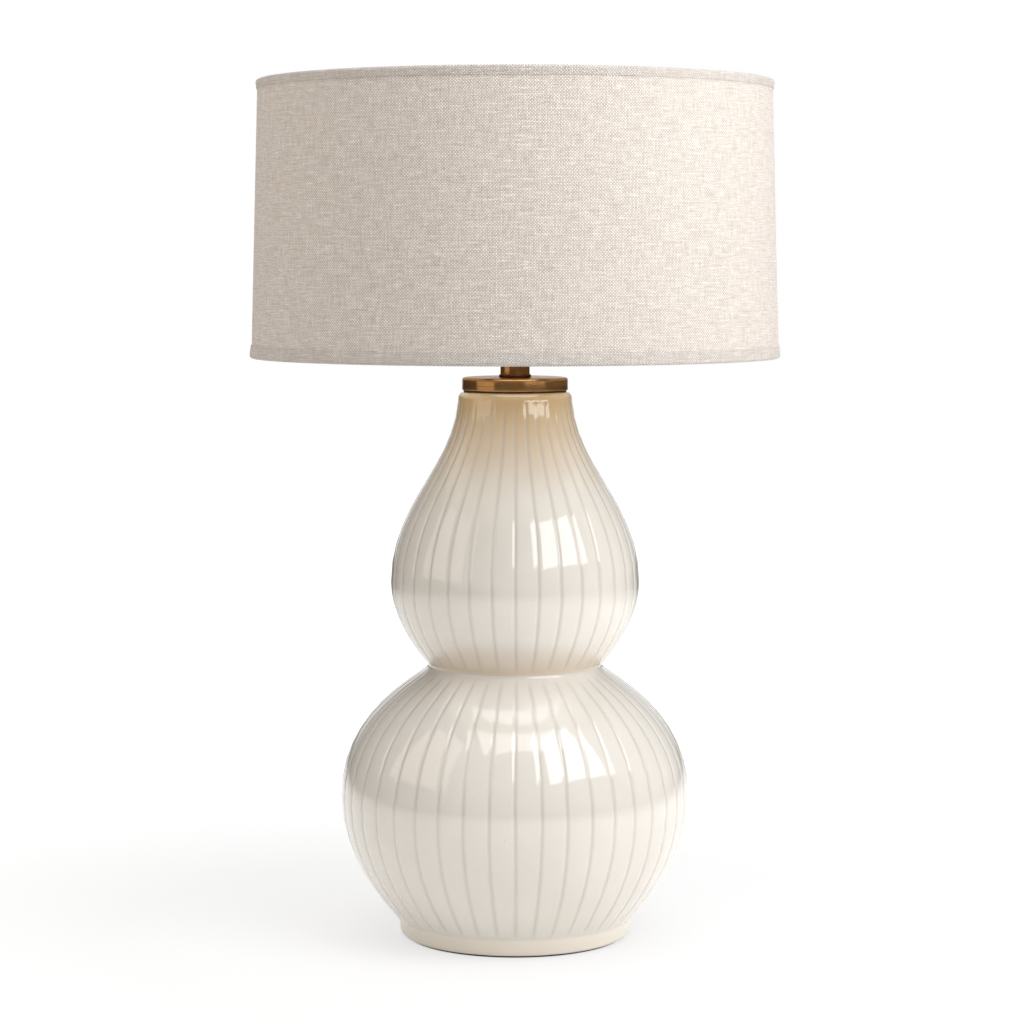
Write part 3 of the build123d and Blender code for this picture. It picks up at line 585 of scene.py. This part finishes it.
def ceramicOutline():
    outside = [gourds["foot"], gourds["band"]]
    outside += curveRun(gourds["band"], *gourds["flank"], gourds["belly"], 8)
    outside += curveRun(gourds["belly"], *gourds["shoulder"], gourds["waist"], 12)
    outside += curveRun(gourds["waist"], *gourds["upperFlank"], gourds["upperBelly"], 8)
    outside += curveRun(gourds["upperBelly"], *gourds["sweep"], gourds["neck"], 11)
    outside += [gourds["lip"], (gourds["mouthRadius"], gourds["lip"][1])]
    outside = roundCorner(outside, gourds["band"], gourds["bandBend"], 2)
    outside = roundCorner(outside, outside[at(outside, gourds["waist"])], gourds["waistBend"], 5)
    outside = roundCorner(outside, gourds["lip"], gourds["lipBend"], 4)
    closed = roundCorner([gourds["inside"][-1]] + outside, gourds["foot"], gourds["footBend"], 3)
    return outside, closed[1:] + gourds["inside"]


def radiusAt(outline, height):
    for (lowRadius, low), (highRadius, high) in zip(outline, outline[1:]):
        if low <= height <= high and high > low:
            return lowRadius + (highRadius - lowRadius) * (height - low) / (high - low)
    return 0.0


def ramp(value, start, length):
    share = min(max((value - start) / length, 0.0), 1.0)
    return share * share * (3 - 2 * share)


def carveFlutes(mesh, outside):
    groove = mesh.verts.layers.float.new("groove")
    for vert in mesh.verts:
        radius, height = hypot(vert.co.x, vert.co.y), vert.co.z
        if abs(radius - radiusAt(outside, height)) > flutes["wallSlack"]:
            continue
        row = flutes["lower"] if height < gourds["waist"][1] else flutes["upper"]
        fadeOut = 1 - ramp(height, row["end"] - row["endFade"], row["endFade"])
        fade = ramp(height, row["start"], row["startFade"]) * fadeOut
        pitch = tau / row["count"]
        flute = round(atan2(vert.co.x, -vert.co.y) / pitch)
        side = atan2(vert.co.x, -vert.co.y) / pitch - flute
        crowded = side * (0.5 + abs(side))  # more columns near the groove
        turn = (flute + crowded) * pitch
        turn += flutes["unevenness"] * (cos(turn) - 1)
        spot = Vector((flute * flutes["wanderStep"], height * flutes["wanderRise"], row["count"]))
        drift = noise.noise(spot) * flutes["wander"] / radius
        turn += drift * (1 - 4 * side * side)
        distance = crowded * pitch * radius / flutes["halfWidth"]
        carved = fade * exp(-distance * distance)
        hollow = fade * (1 - 2 * abs(crowded)) ** 2
        vert[groove] = carved
        radius -= flutes["depth"] * carved + flutes["crown"] * pitch * radius * hollow
        vert.co.x, vert.co.y = radius * sin(turn), -radius * cos(turn)


def bushingTool():
    # a stepped bore through the back of the foot, just wider than the bushing
    low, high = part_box("cord_bushing")
    seatRadius = high.x + cordHole["slack"]
    outline = [(0, cordHole["start"]), (cordHole["bore"], cordHole["start"]),
               (cordHole["bore"], cordHole["seat"]), (seatRadius, cordHole["seat"]),
               (seatRadius, cordHole["end"]), (0, cordHole["end"])]
    tool = spun(outline, cordHole["steps"])
    bmesh.ops.rotate(tool, verts=tool.verts, cent=(0, 0, 0), matrix=Matrix.Rotation(-pi / 2, 3, "X"))
    bmesh.ops.translate(tool, verts=tool.verts, vec=(0, 0, (low.z + high.z) / 2))
    return tool


outside, closed = ceramicOutline()
body = spun(closed, gourds["columns"])
carveFlutes(body, outside)
ceramicBody = makePiece("ceramicBody", cutOut(body, bushingTool()), creamGlaze, "base", 60)
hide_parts("ceramic_body")
print("ceramic body:", len(ceramicBody.data.polygons), "faces")


# ---- felt, gasket and the brass neck

neck = {
    "capSheet": 0.0018,
    "capBend": 0.0024,
    "rimBend": 0.0012,
    "ringBend": 0.0009,
    "tubeBend": 0.0003,
    "tubeSheet": 0.001,
    "feltBend": 0.0006,
    "gasketHole": 0.038,
    "gasketBend": 0.0002,
    "slack": 0.00005,
    "steps": 192,
}


def spunNode(name, node, inner, bends, material, body, steps):
    # a ring as large as its CAD node, with its outer bottom and outer top corners rounded
    low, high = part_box(node)
    outline = ring(inner, high.x, low.z, high.z)
    for corner, bend in zip(outline[1:3], bends):
        outline = roundCorner(outline, corner, bend) if bend else outline
    piece = makePiece(name, spun(outline, steps), material, body)
    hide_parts(node)
    return piece


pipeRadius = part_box("threaded_pipe")[1].x + neck["slack"]
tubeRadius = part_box("neck_tube")[1].x
spunNode("feltPad", "felt_pad", 0.0, (neck["feltBend"], 0), felt, "base", neck["steps"])
spunNode("neckGasket", "neck_gasket", neck["gasketHole"], (neck["gasketBend"], neck["gasketBend"]),
         rubber, "base", neck["steps"])
spunNode("neckTube", "neck_tube", tubeRadius - neck["tubeSheet"], (neck["tubeBend"], neck["tubeBend"]),
         agedBrass, "base", neck["steps"])
spunNode("checkRing", "check_ring", tubeRadius + neck["slack"], (neck["ringBend"], neck["ringBend"]),
         darkBronze, "base", neck["steps"])

low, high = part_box("neck_cap")
capInside = high.x - neck["capSheet"], high.z - neck["capSheet"]
capOutline = [(pipeRadius, high.z), (high.x, high.z), (high.x, low.z), (capInside[0], low.z), capInside,
              (pipeRadius, capInside[1])]
capOutline = roundCorner(capOutline, (high.x, high.z), neck["capBend"], 6)
capOutline = roundCorner(capOutline, (high.x, low.z), neck["rimBend"])
neckCap = makePiece("neckCap", spun(capOutline, neck["steps"]), agedBrass, "base")
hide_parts("neck_cap")
print("brass neck made")


# ---- drum shade

drum = {
    "linen": 0.0008,
    "liner": 0.0007,
    "bottomRadius": 0.2271,
    "topRadius": 0.2203,
    "wireRadius": 0.0013,
    "rollRadius": 0.00225,
    "foldThickness": 0.0007,
    "bottomHem": 0.0110,
    "topHem": 0.0075,
    # where each side of the fold lies: distance from the cloth, and share of the hem's height
    "outerFold": [(0.0007, 1.0), (0.0009, 0.80), (0.0013, 0.50)],
    "innerFold": [(0.0019, 0.50), (0.0015, 1.0)],
    "rows": 12,
    "steps": 288,
    "seamWidth": 0.011,
    "seamLift": 0.0006,
    "seamTuck": 0.001,  # how far the seam runs under the hems
    "seamSlope": 0.0003,
    "seamMapScale": 1.001,
}
drumBase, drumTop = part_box("shade_bottom_hem")[0].z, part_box("shade_top_hem")[1].z
drumHeight = drumTop - drumBase


def onWall(out, up):
    # a place on the shade's wall: out of the linen's face, and up from the shade's bottom edge
    taper = (drum["topRadius"] - drum["bottomRadius"]) * up / drumHeight
    return drum["bottomRadius"] + taper + out, drumBase + up


def wallLayer(face, thickness, margin):
    run = drumHeight - 2 * margin
    path = [onWall(face, margin + run * row / drum["rows"]) for row in range(drum["rows"] + 1)]
    return path + [onWall(face - thickness, drumHeight - margin), onWall(face - thickness, margin)]


def hemOutline(height, edge, side):
    # one fold of cloth round the wire, open toward the wall; side is 1 at the bottom and -1 at the top
    middle = -(drum["linen"] + drum["liner"]) / 2
    roll = drum["rollRadius"]
    path = [(out, height * share) for out, share in drum["outerFold"]]
    path += [(middle + across, roll - down) for across, down in arcRun((0, 0), roll, 0, 180, 12)]
    path += [(middle - inward, height * share) for inward, share in drum["innerFold"]]
    path = [onWall(out, edge + side * up) for out, up in path]
    return thickened(path if side > 0 else path[::-1], drum["foldThickness"])


def makeDrumPiece(name, outline, material, slot, *replaced):
    mesh = spun(outline, drum["steps"])
    addWallMap(mesh, drum["bottomRadius"], drumBase)
    piece = makePiece(name, mesh, material, "shade")
    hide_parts(*replaced)
    return piece


def seamOutline():
    # a low strip on the wall, from hem to hem
    low, high = drum["bottomHem"] - drum["seamTuck"], drumHeight - drum["topHem"] + drum["seamTuck"]
    lift, slope = drum["seamLift"], drum["seamSlope"]
    return [onWall(0, low), onWall(lift, low + slope), onWall(lift, high - slope), onWall(0, high)]


margin = drum["rollRadius"] + drum["wireRadius"]
makeDrumPiece("shadeLinen", wallLayer(0, drum["linen"], margin), linenCloth, "linen", "shade_linen")
makeDrumPiece("shadeLiner", wallLayer(-drum["linen"], drum["liner"], margin), styrene, "styrene",
              "shade_liner")
makeDrumPiece("bottomHem", hemOutline(drum["bottomHem"], 0, 1), shadedHemLinen, "linen_hem",
              "shade_bottom_hem")
makeDrumPiece("topHem", hemOutline(drum["topHem"], drumHeight, -1), shadedHemLinen, "linen_hem",
              "shade_top_hem")

# the cloth's folded end is glued down at the back
seamTurn = drum["seamWidth"] / drum["bottomRadius"]
seam = spun(seamOutline(), 6, seamTurn)
toBack = Matrix.Rotation((pi - seamTurn) / 2, 3, "Z")
bmesh.ops.rotate(seam, verts=seam.verts, cent=(0, 0, 0), matrix=toBack)
addWallMap(seam, drum["bottomRadius"] * drum["seamMapScale"], drumBase)
makePiece("backSeam", seam, linenCloth, "shade", 30)
print("drum shade made")


# ---- bulb

bulb = {
    "wall": 0.0010,
    "housingWall": 0.0012,
    "neckRadius": 0.0138,
    "neckPull": 0.012,
    "flare": 0.004,
    "steps": 96,
}
low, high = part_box("bulb_globe")
globeRadius = high.x
globeCentre = (0, high.z - globeRadius)
housingTop = low.z
globeRim = (globeRadius ** 2 - (globeCentre[1] - housingTop) ** 2) ** 0.5
rimAngle = -degrees(atan2(globeCentre[1] - housingTop, globeRim))
globePath = arcRun(globeCentre, globeRadius, rimAngle, 90, 24)
globeInside = arcRun(globeCentre, globeRadius - bulb["wall"], 90, rimAngle, 24)
bulbGlobe = makePiece("bulbGlobe", spun(globePath + globeInside, bulb["steps"]), opalGlass,
                      "bulb")
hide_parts("bulb_globe")

low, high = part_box("bulb_housing")
neckStart = (bulb["neckRadius"], low.z)
housingPath = [neckStart] + curveRun(
    neckStart, (bulb["neckRadius"], low.z + bulb["neckPull"]),
    (globeRim - bulb["flare"], housingTop - bulb["neckPull"]), (globeRim, housingTop), 14)
housingInside = [(radius - bulb["housingWall"], height) for radius, height in housingPath[::-1]]
bulbHousing = makePiece("bulbHousing", spun(housingPath + housingInside, bulb["steps"]), whitePlastic,
                        "bulb")
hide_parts("bulb_housing")
print("bulb made")


# ---- finial

finial = {
    "base": 0.0070,
    "baseHeight": 0.0030,
    "baseBend": 0.0006,
    "neck": 0.0042,
    "neckPull": 0.0020,
    "neckTop": 0.0064,  # below the ball's centre
    "ball": 0.0074,
    "ballStart": -50,
    "bore": 0.0031,
    "boreDepth": 0.0100,
    "collarSlack": 0.0004,
    "collarBend": 0.0005,
    "steps": 96,
}
low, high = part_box("finial")
ballCentre = (0, high.z - finial["ball"])
baseTop, boreTop = low.z + finial["baseHeight"], low.z + finial["boreDepth"]
finialOutline = [(finial["bore"], low.z), (finial["base"], low.z), (finial["base"], baseTop)]
finialOutline += curveRun(
    finialOutline[-1], (finial["neck"], baseTop),
    (finial["neck"], baseTop + finial["neckPull"]), (finial["neck"], ballCentre[1] - finial["neckTop"]), 6)
finialOutline += arcRun(ballCentre, finial["ball"], finial["ballStart"], 90, 16)
finialOutline += [(0, boreTop), (finial["bore"], boreTop)]
finialOutline = roundCorner(finialOutline, (finial["base"], low.z), finial["baseBend"], 3)
finialPiece = makePiece("finial", spun(finialOutline, finial["steps"]), agedBrass,
                        "finial")
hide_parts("finial")
spunNode("finialCollar", "finial_collar", finial["bore"] + finial["collarSlack"],
         (finial["collarBend"], finial["collarBend"]), agedBrass, "collar", finial["steps"])
print("finial made")


# ---- CAD nodes that keep their mesh

dress(zincSteel, "base_plate", "lock_washer", "shade_top_wire", "shade_bottom_wire")
dress(pipeSteel, "threaded_pipe")
dress(brightBrass, "pipe_nut", "harp_saddle", "socket_cap", "socket_shell", "terminal_screws",
      "centre_contact", "switch_shaft", "harp_wire", "harp_sleeve_left", "harp_sleeve_right")
dress(threadedBrass, "harp_head")
dress(nickelSteel, "spider_hub", "spider_arms")
dress(aluminium, "bulb_tip_contact", "led_board")
dress(screwAluminium, "screw_shell", "bulb_screw_cap")
dress(rubber, "cord_bushing")
dress(phenolic, "socket_interior", "switch_knob", "bulb_insulator")
dress(fibreBoard, "socket_liner")


# ---- studio

white = (1.0, 1.0, 1.0)
studio = {
    "ambient": 0.385,
    "roomGlow": 0.24,  # the room on the camera's side, as the gloss mirrors it
    "sideGlow": (0.10, 0.28),  # the room at the left and at the right
    # directions, from -1 to 1: the side glow runs from left to right and takes over from the
    # camera's side toward the back, and straight behind it gives way to white
    "sideSpan": (-0.3, 0.8),
    "sideBlend": (-0.5, 0.0),
    "backBlend": (0.86, 0.99),
    "floorSize": 14.0,
    "floorColor": (0.90, 0.895, 0.88, 1),
    "seenFloor": (0.34, 0.34, 0.34, 1),  # what the camera sees of it, under its glow
    "floorGlow": (0.64, 1.0),  # near the lamp and far from it
    "floorFade": (0.35, 1.6),  # the distances for these two
    "floorShine": 0.22,
    "floorDusk": (1.0, 2.6),  # the gloss mirrors a darker floor between these distances
    "farFloor": (0.25, 0.24, 0.23, 1),
    "cameraPlace": (-0.0009, -2.5553, 0.5889),
    "cameraPitch": 85.086,
    "lens": 103.4,
    "sensor": 36,
}
softboxes = {
    "keyRight": {"azimuth": 44.5, "distance": 0.92, "height": 1.27, "tilt": 0, "size": (0.80, 1.46),
                 "radiance": 2.85, "color": (0.98, 0.99, 1.0)},
    "fillLeft": {"azimuth": -67, "distance": 0.80, "height": 0.80, "tilt": 0, "size": (0.64, 0.92),
                 "radiance": 0.88, "color": (1.0, 0.89, 0.77)},
    "sideRight": {"azimuth": 78, "distance": 1.0, "height": 0.38, "tilt": 0, "size": (1.3, 0.6),
                  "radiance": 1.2, "color": white, "mirrored": False},
    "overhead": {"azimuth": 10, "distance": 0.50, "height": 2.60, "tilt": 78, "size": (2.2, 2.2),
                 "radiance": 1.75, "color": white},
    "behind": {"azimuth": 180, "distance": 1.90, "height": 1.10, "tilt": 12, "size": (2.4, 1.6),
               "radiance": 0.9, "color": white, "mirrored": False},
}


def addSoftbox(name, azimuth, distance, height, tilt, size, radiance, color, mirrored=True):
    # azimuth is seen from above: 0 at the camera's side, positive to the right
    light = bpy.data.lights.new(name, "AREA")
    light.shape = "RECTANGLE"
    light.size, light.size_y = size
    light.energy = radiance * pi * size[0] * size[1]
    light.color = color
    lamp = bpy.data.objects.new(name, light)
    turn = radians(azimuth)
    lamp.location = (distance * sin(turn), -distance * cos(turn), height)
    lamp.rotation_euler = (pi / 2 - radians(tilt), 0, turn)
    lamp.visible_camera = False
    lamp.visible_glossy = mirrored
    bpy.context.scene.collection.objects.link(lamp)


def rayKinds(tree):
    # 1 for what the camera sees straight or through glass, and 1 for what gloss mirrors
    path = tree.nodes.new("ShaderNodeLightPath").outputs
    return calc(tree, "MAXIMUM", path["Is Camera Ray"], path["Is Transmission Ray"]), path["Is Glossy Ray"]


def makeWorld():
    world = bpy.data.worlds.new("studio")
    bpy.context.scene.world = world
    world.use_nodes = True
    tree = world.node_tree
    background = tree.nodes["Background"].inputs
    background["Color"].default_value = (*white, 1)
    seen, mirrored = rayKinds(tree)
    direction = tree.nodes.new("ShaderNodeTexCoord").outputs["Generated"]
    axes = addNode(tree, "ShaderNodeSeparateXYZ", {0: direction}).outputs
    side = spread(tree, axes[0], *studio["sideSpan"], *studio["sideGlow"])
    room = mixValues(tree, spread(tree, axes[1], *studio["sideBlend"]), studio["roomGlow"], side)
    room = calc(tree, "MAXIMUM", room, spread(tree, axes[1], *studio["backBlend"]))
    strength = mixValues(tree, mirrored, studio["ambient"], room)
    feed(tree, background["Strength"], mixValues(tree, seen, strength, 1.0))


def makeFloorMaterial():
    material, tree, shader, coords = newMaterial("paleFloor", {
        "Roughness": 0.8, "Specular IOR Level": 0.0, "Emission Color": (*white, 1)})
    seen, mirrored = rayKinds(tree)
    reach = addNode(tree, "ShaderNodeVectorMath", {0: coords["Object"]}, operation="LENGTH")
    reach = reach.outputs["Value"]
    dusk = calc(tree, "MULTIPLY", mirrored, spread(tree, reach, *studio["floorDusk"]))
    color = mixColors(tree, seen, studio["floorColor"], studio["seenFloor"])
    feed(tree, shader["Base Color"], mixColors(tree, dusk, color, studio["farFloor"]))
    fade = spread(tree, reach, *studio["floorFade"], *studio["floorGlow"])
    glow = calc(tree, "MULTIPLY", seen, fade)
    shine = calc(tree, "MULTIPLY", calc(tree, "SUBTRACT", mirrored, dusk), studio["floorShine"])
    feed(tree, shader["Emission Strength"], calc(tree, "ADD", shine, glow))
    return material


def makeFloor():
    mesh = bmesh.new()
    bmesh.ops.create_grid(mesh, x_segments=1, y_segments=1, size=studio["floorSize"] / 2)
    data = bpy.data.meshes.new("floor")
    mesh.to_mesh(data)
    mesh.free()
    data.materials.append(makeFloorMaterial())
    floor = bpy.data.objects.new("floor", data)
    bpy.context.scene.collection.objects.link(floor)


def addCamera():
    data = bpy.data.cameras.new("camera")
    data.lens = studio["lens"]
    data.sensor_width = studio["sensor"]
    camera = bpy.data.objects.new("camera", data)
    camera.location = studio["cameraPlace"]
    camera.rotation_euler = (radians(studio["cameraPitch"]), 0, 0)
    bpy.context.scene.collection.objects.link(camera)
    bpy.context.scene.camera = camera


for name, settings in softboxes.items():
    addSoftbox(name, **settings)
makeWorld()
makeFloor()
addCamera()
bpy.context.scene.view_settings.view_transform = "Standard"
print("studio made")
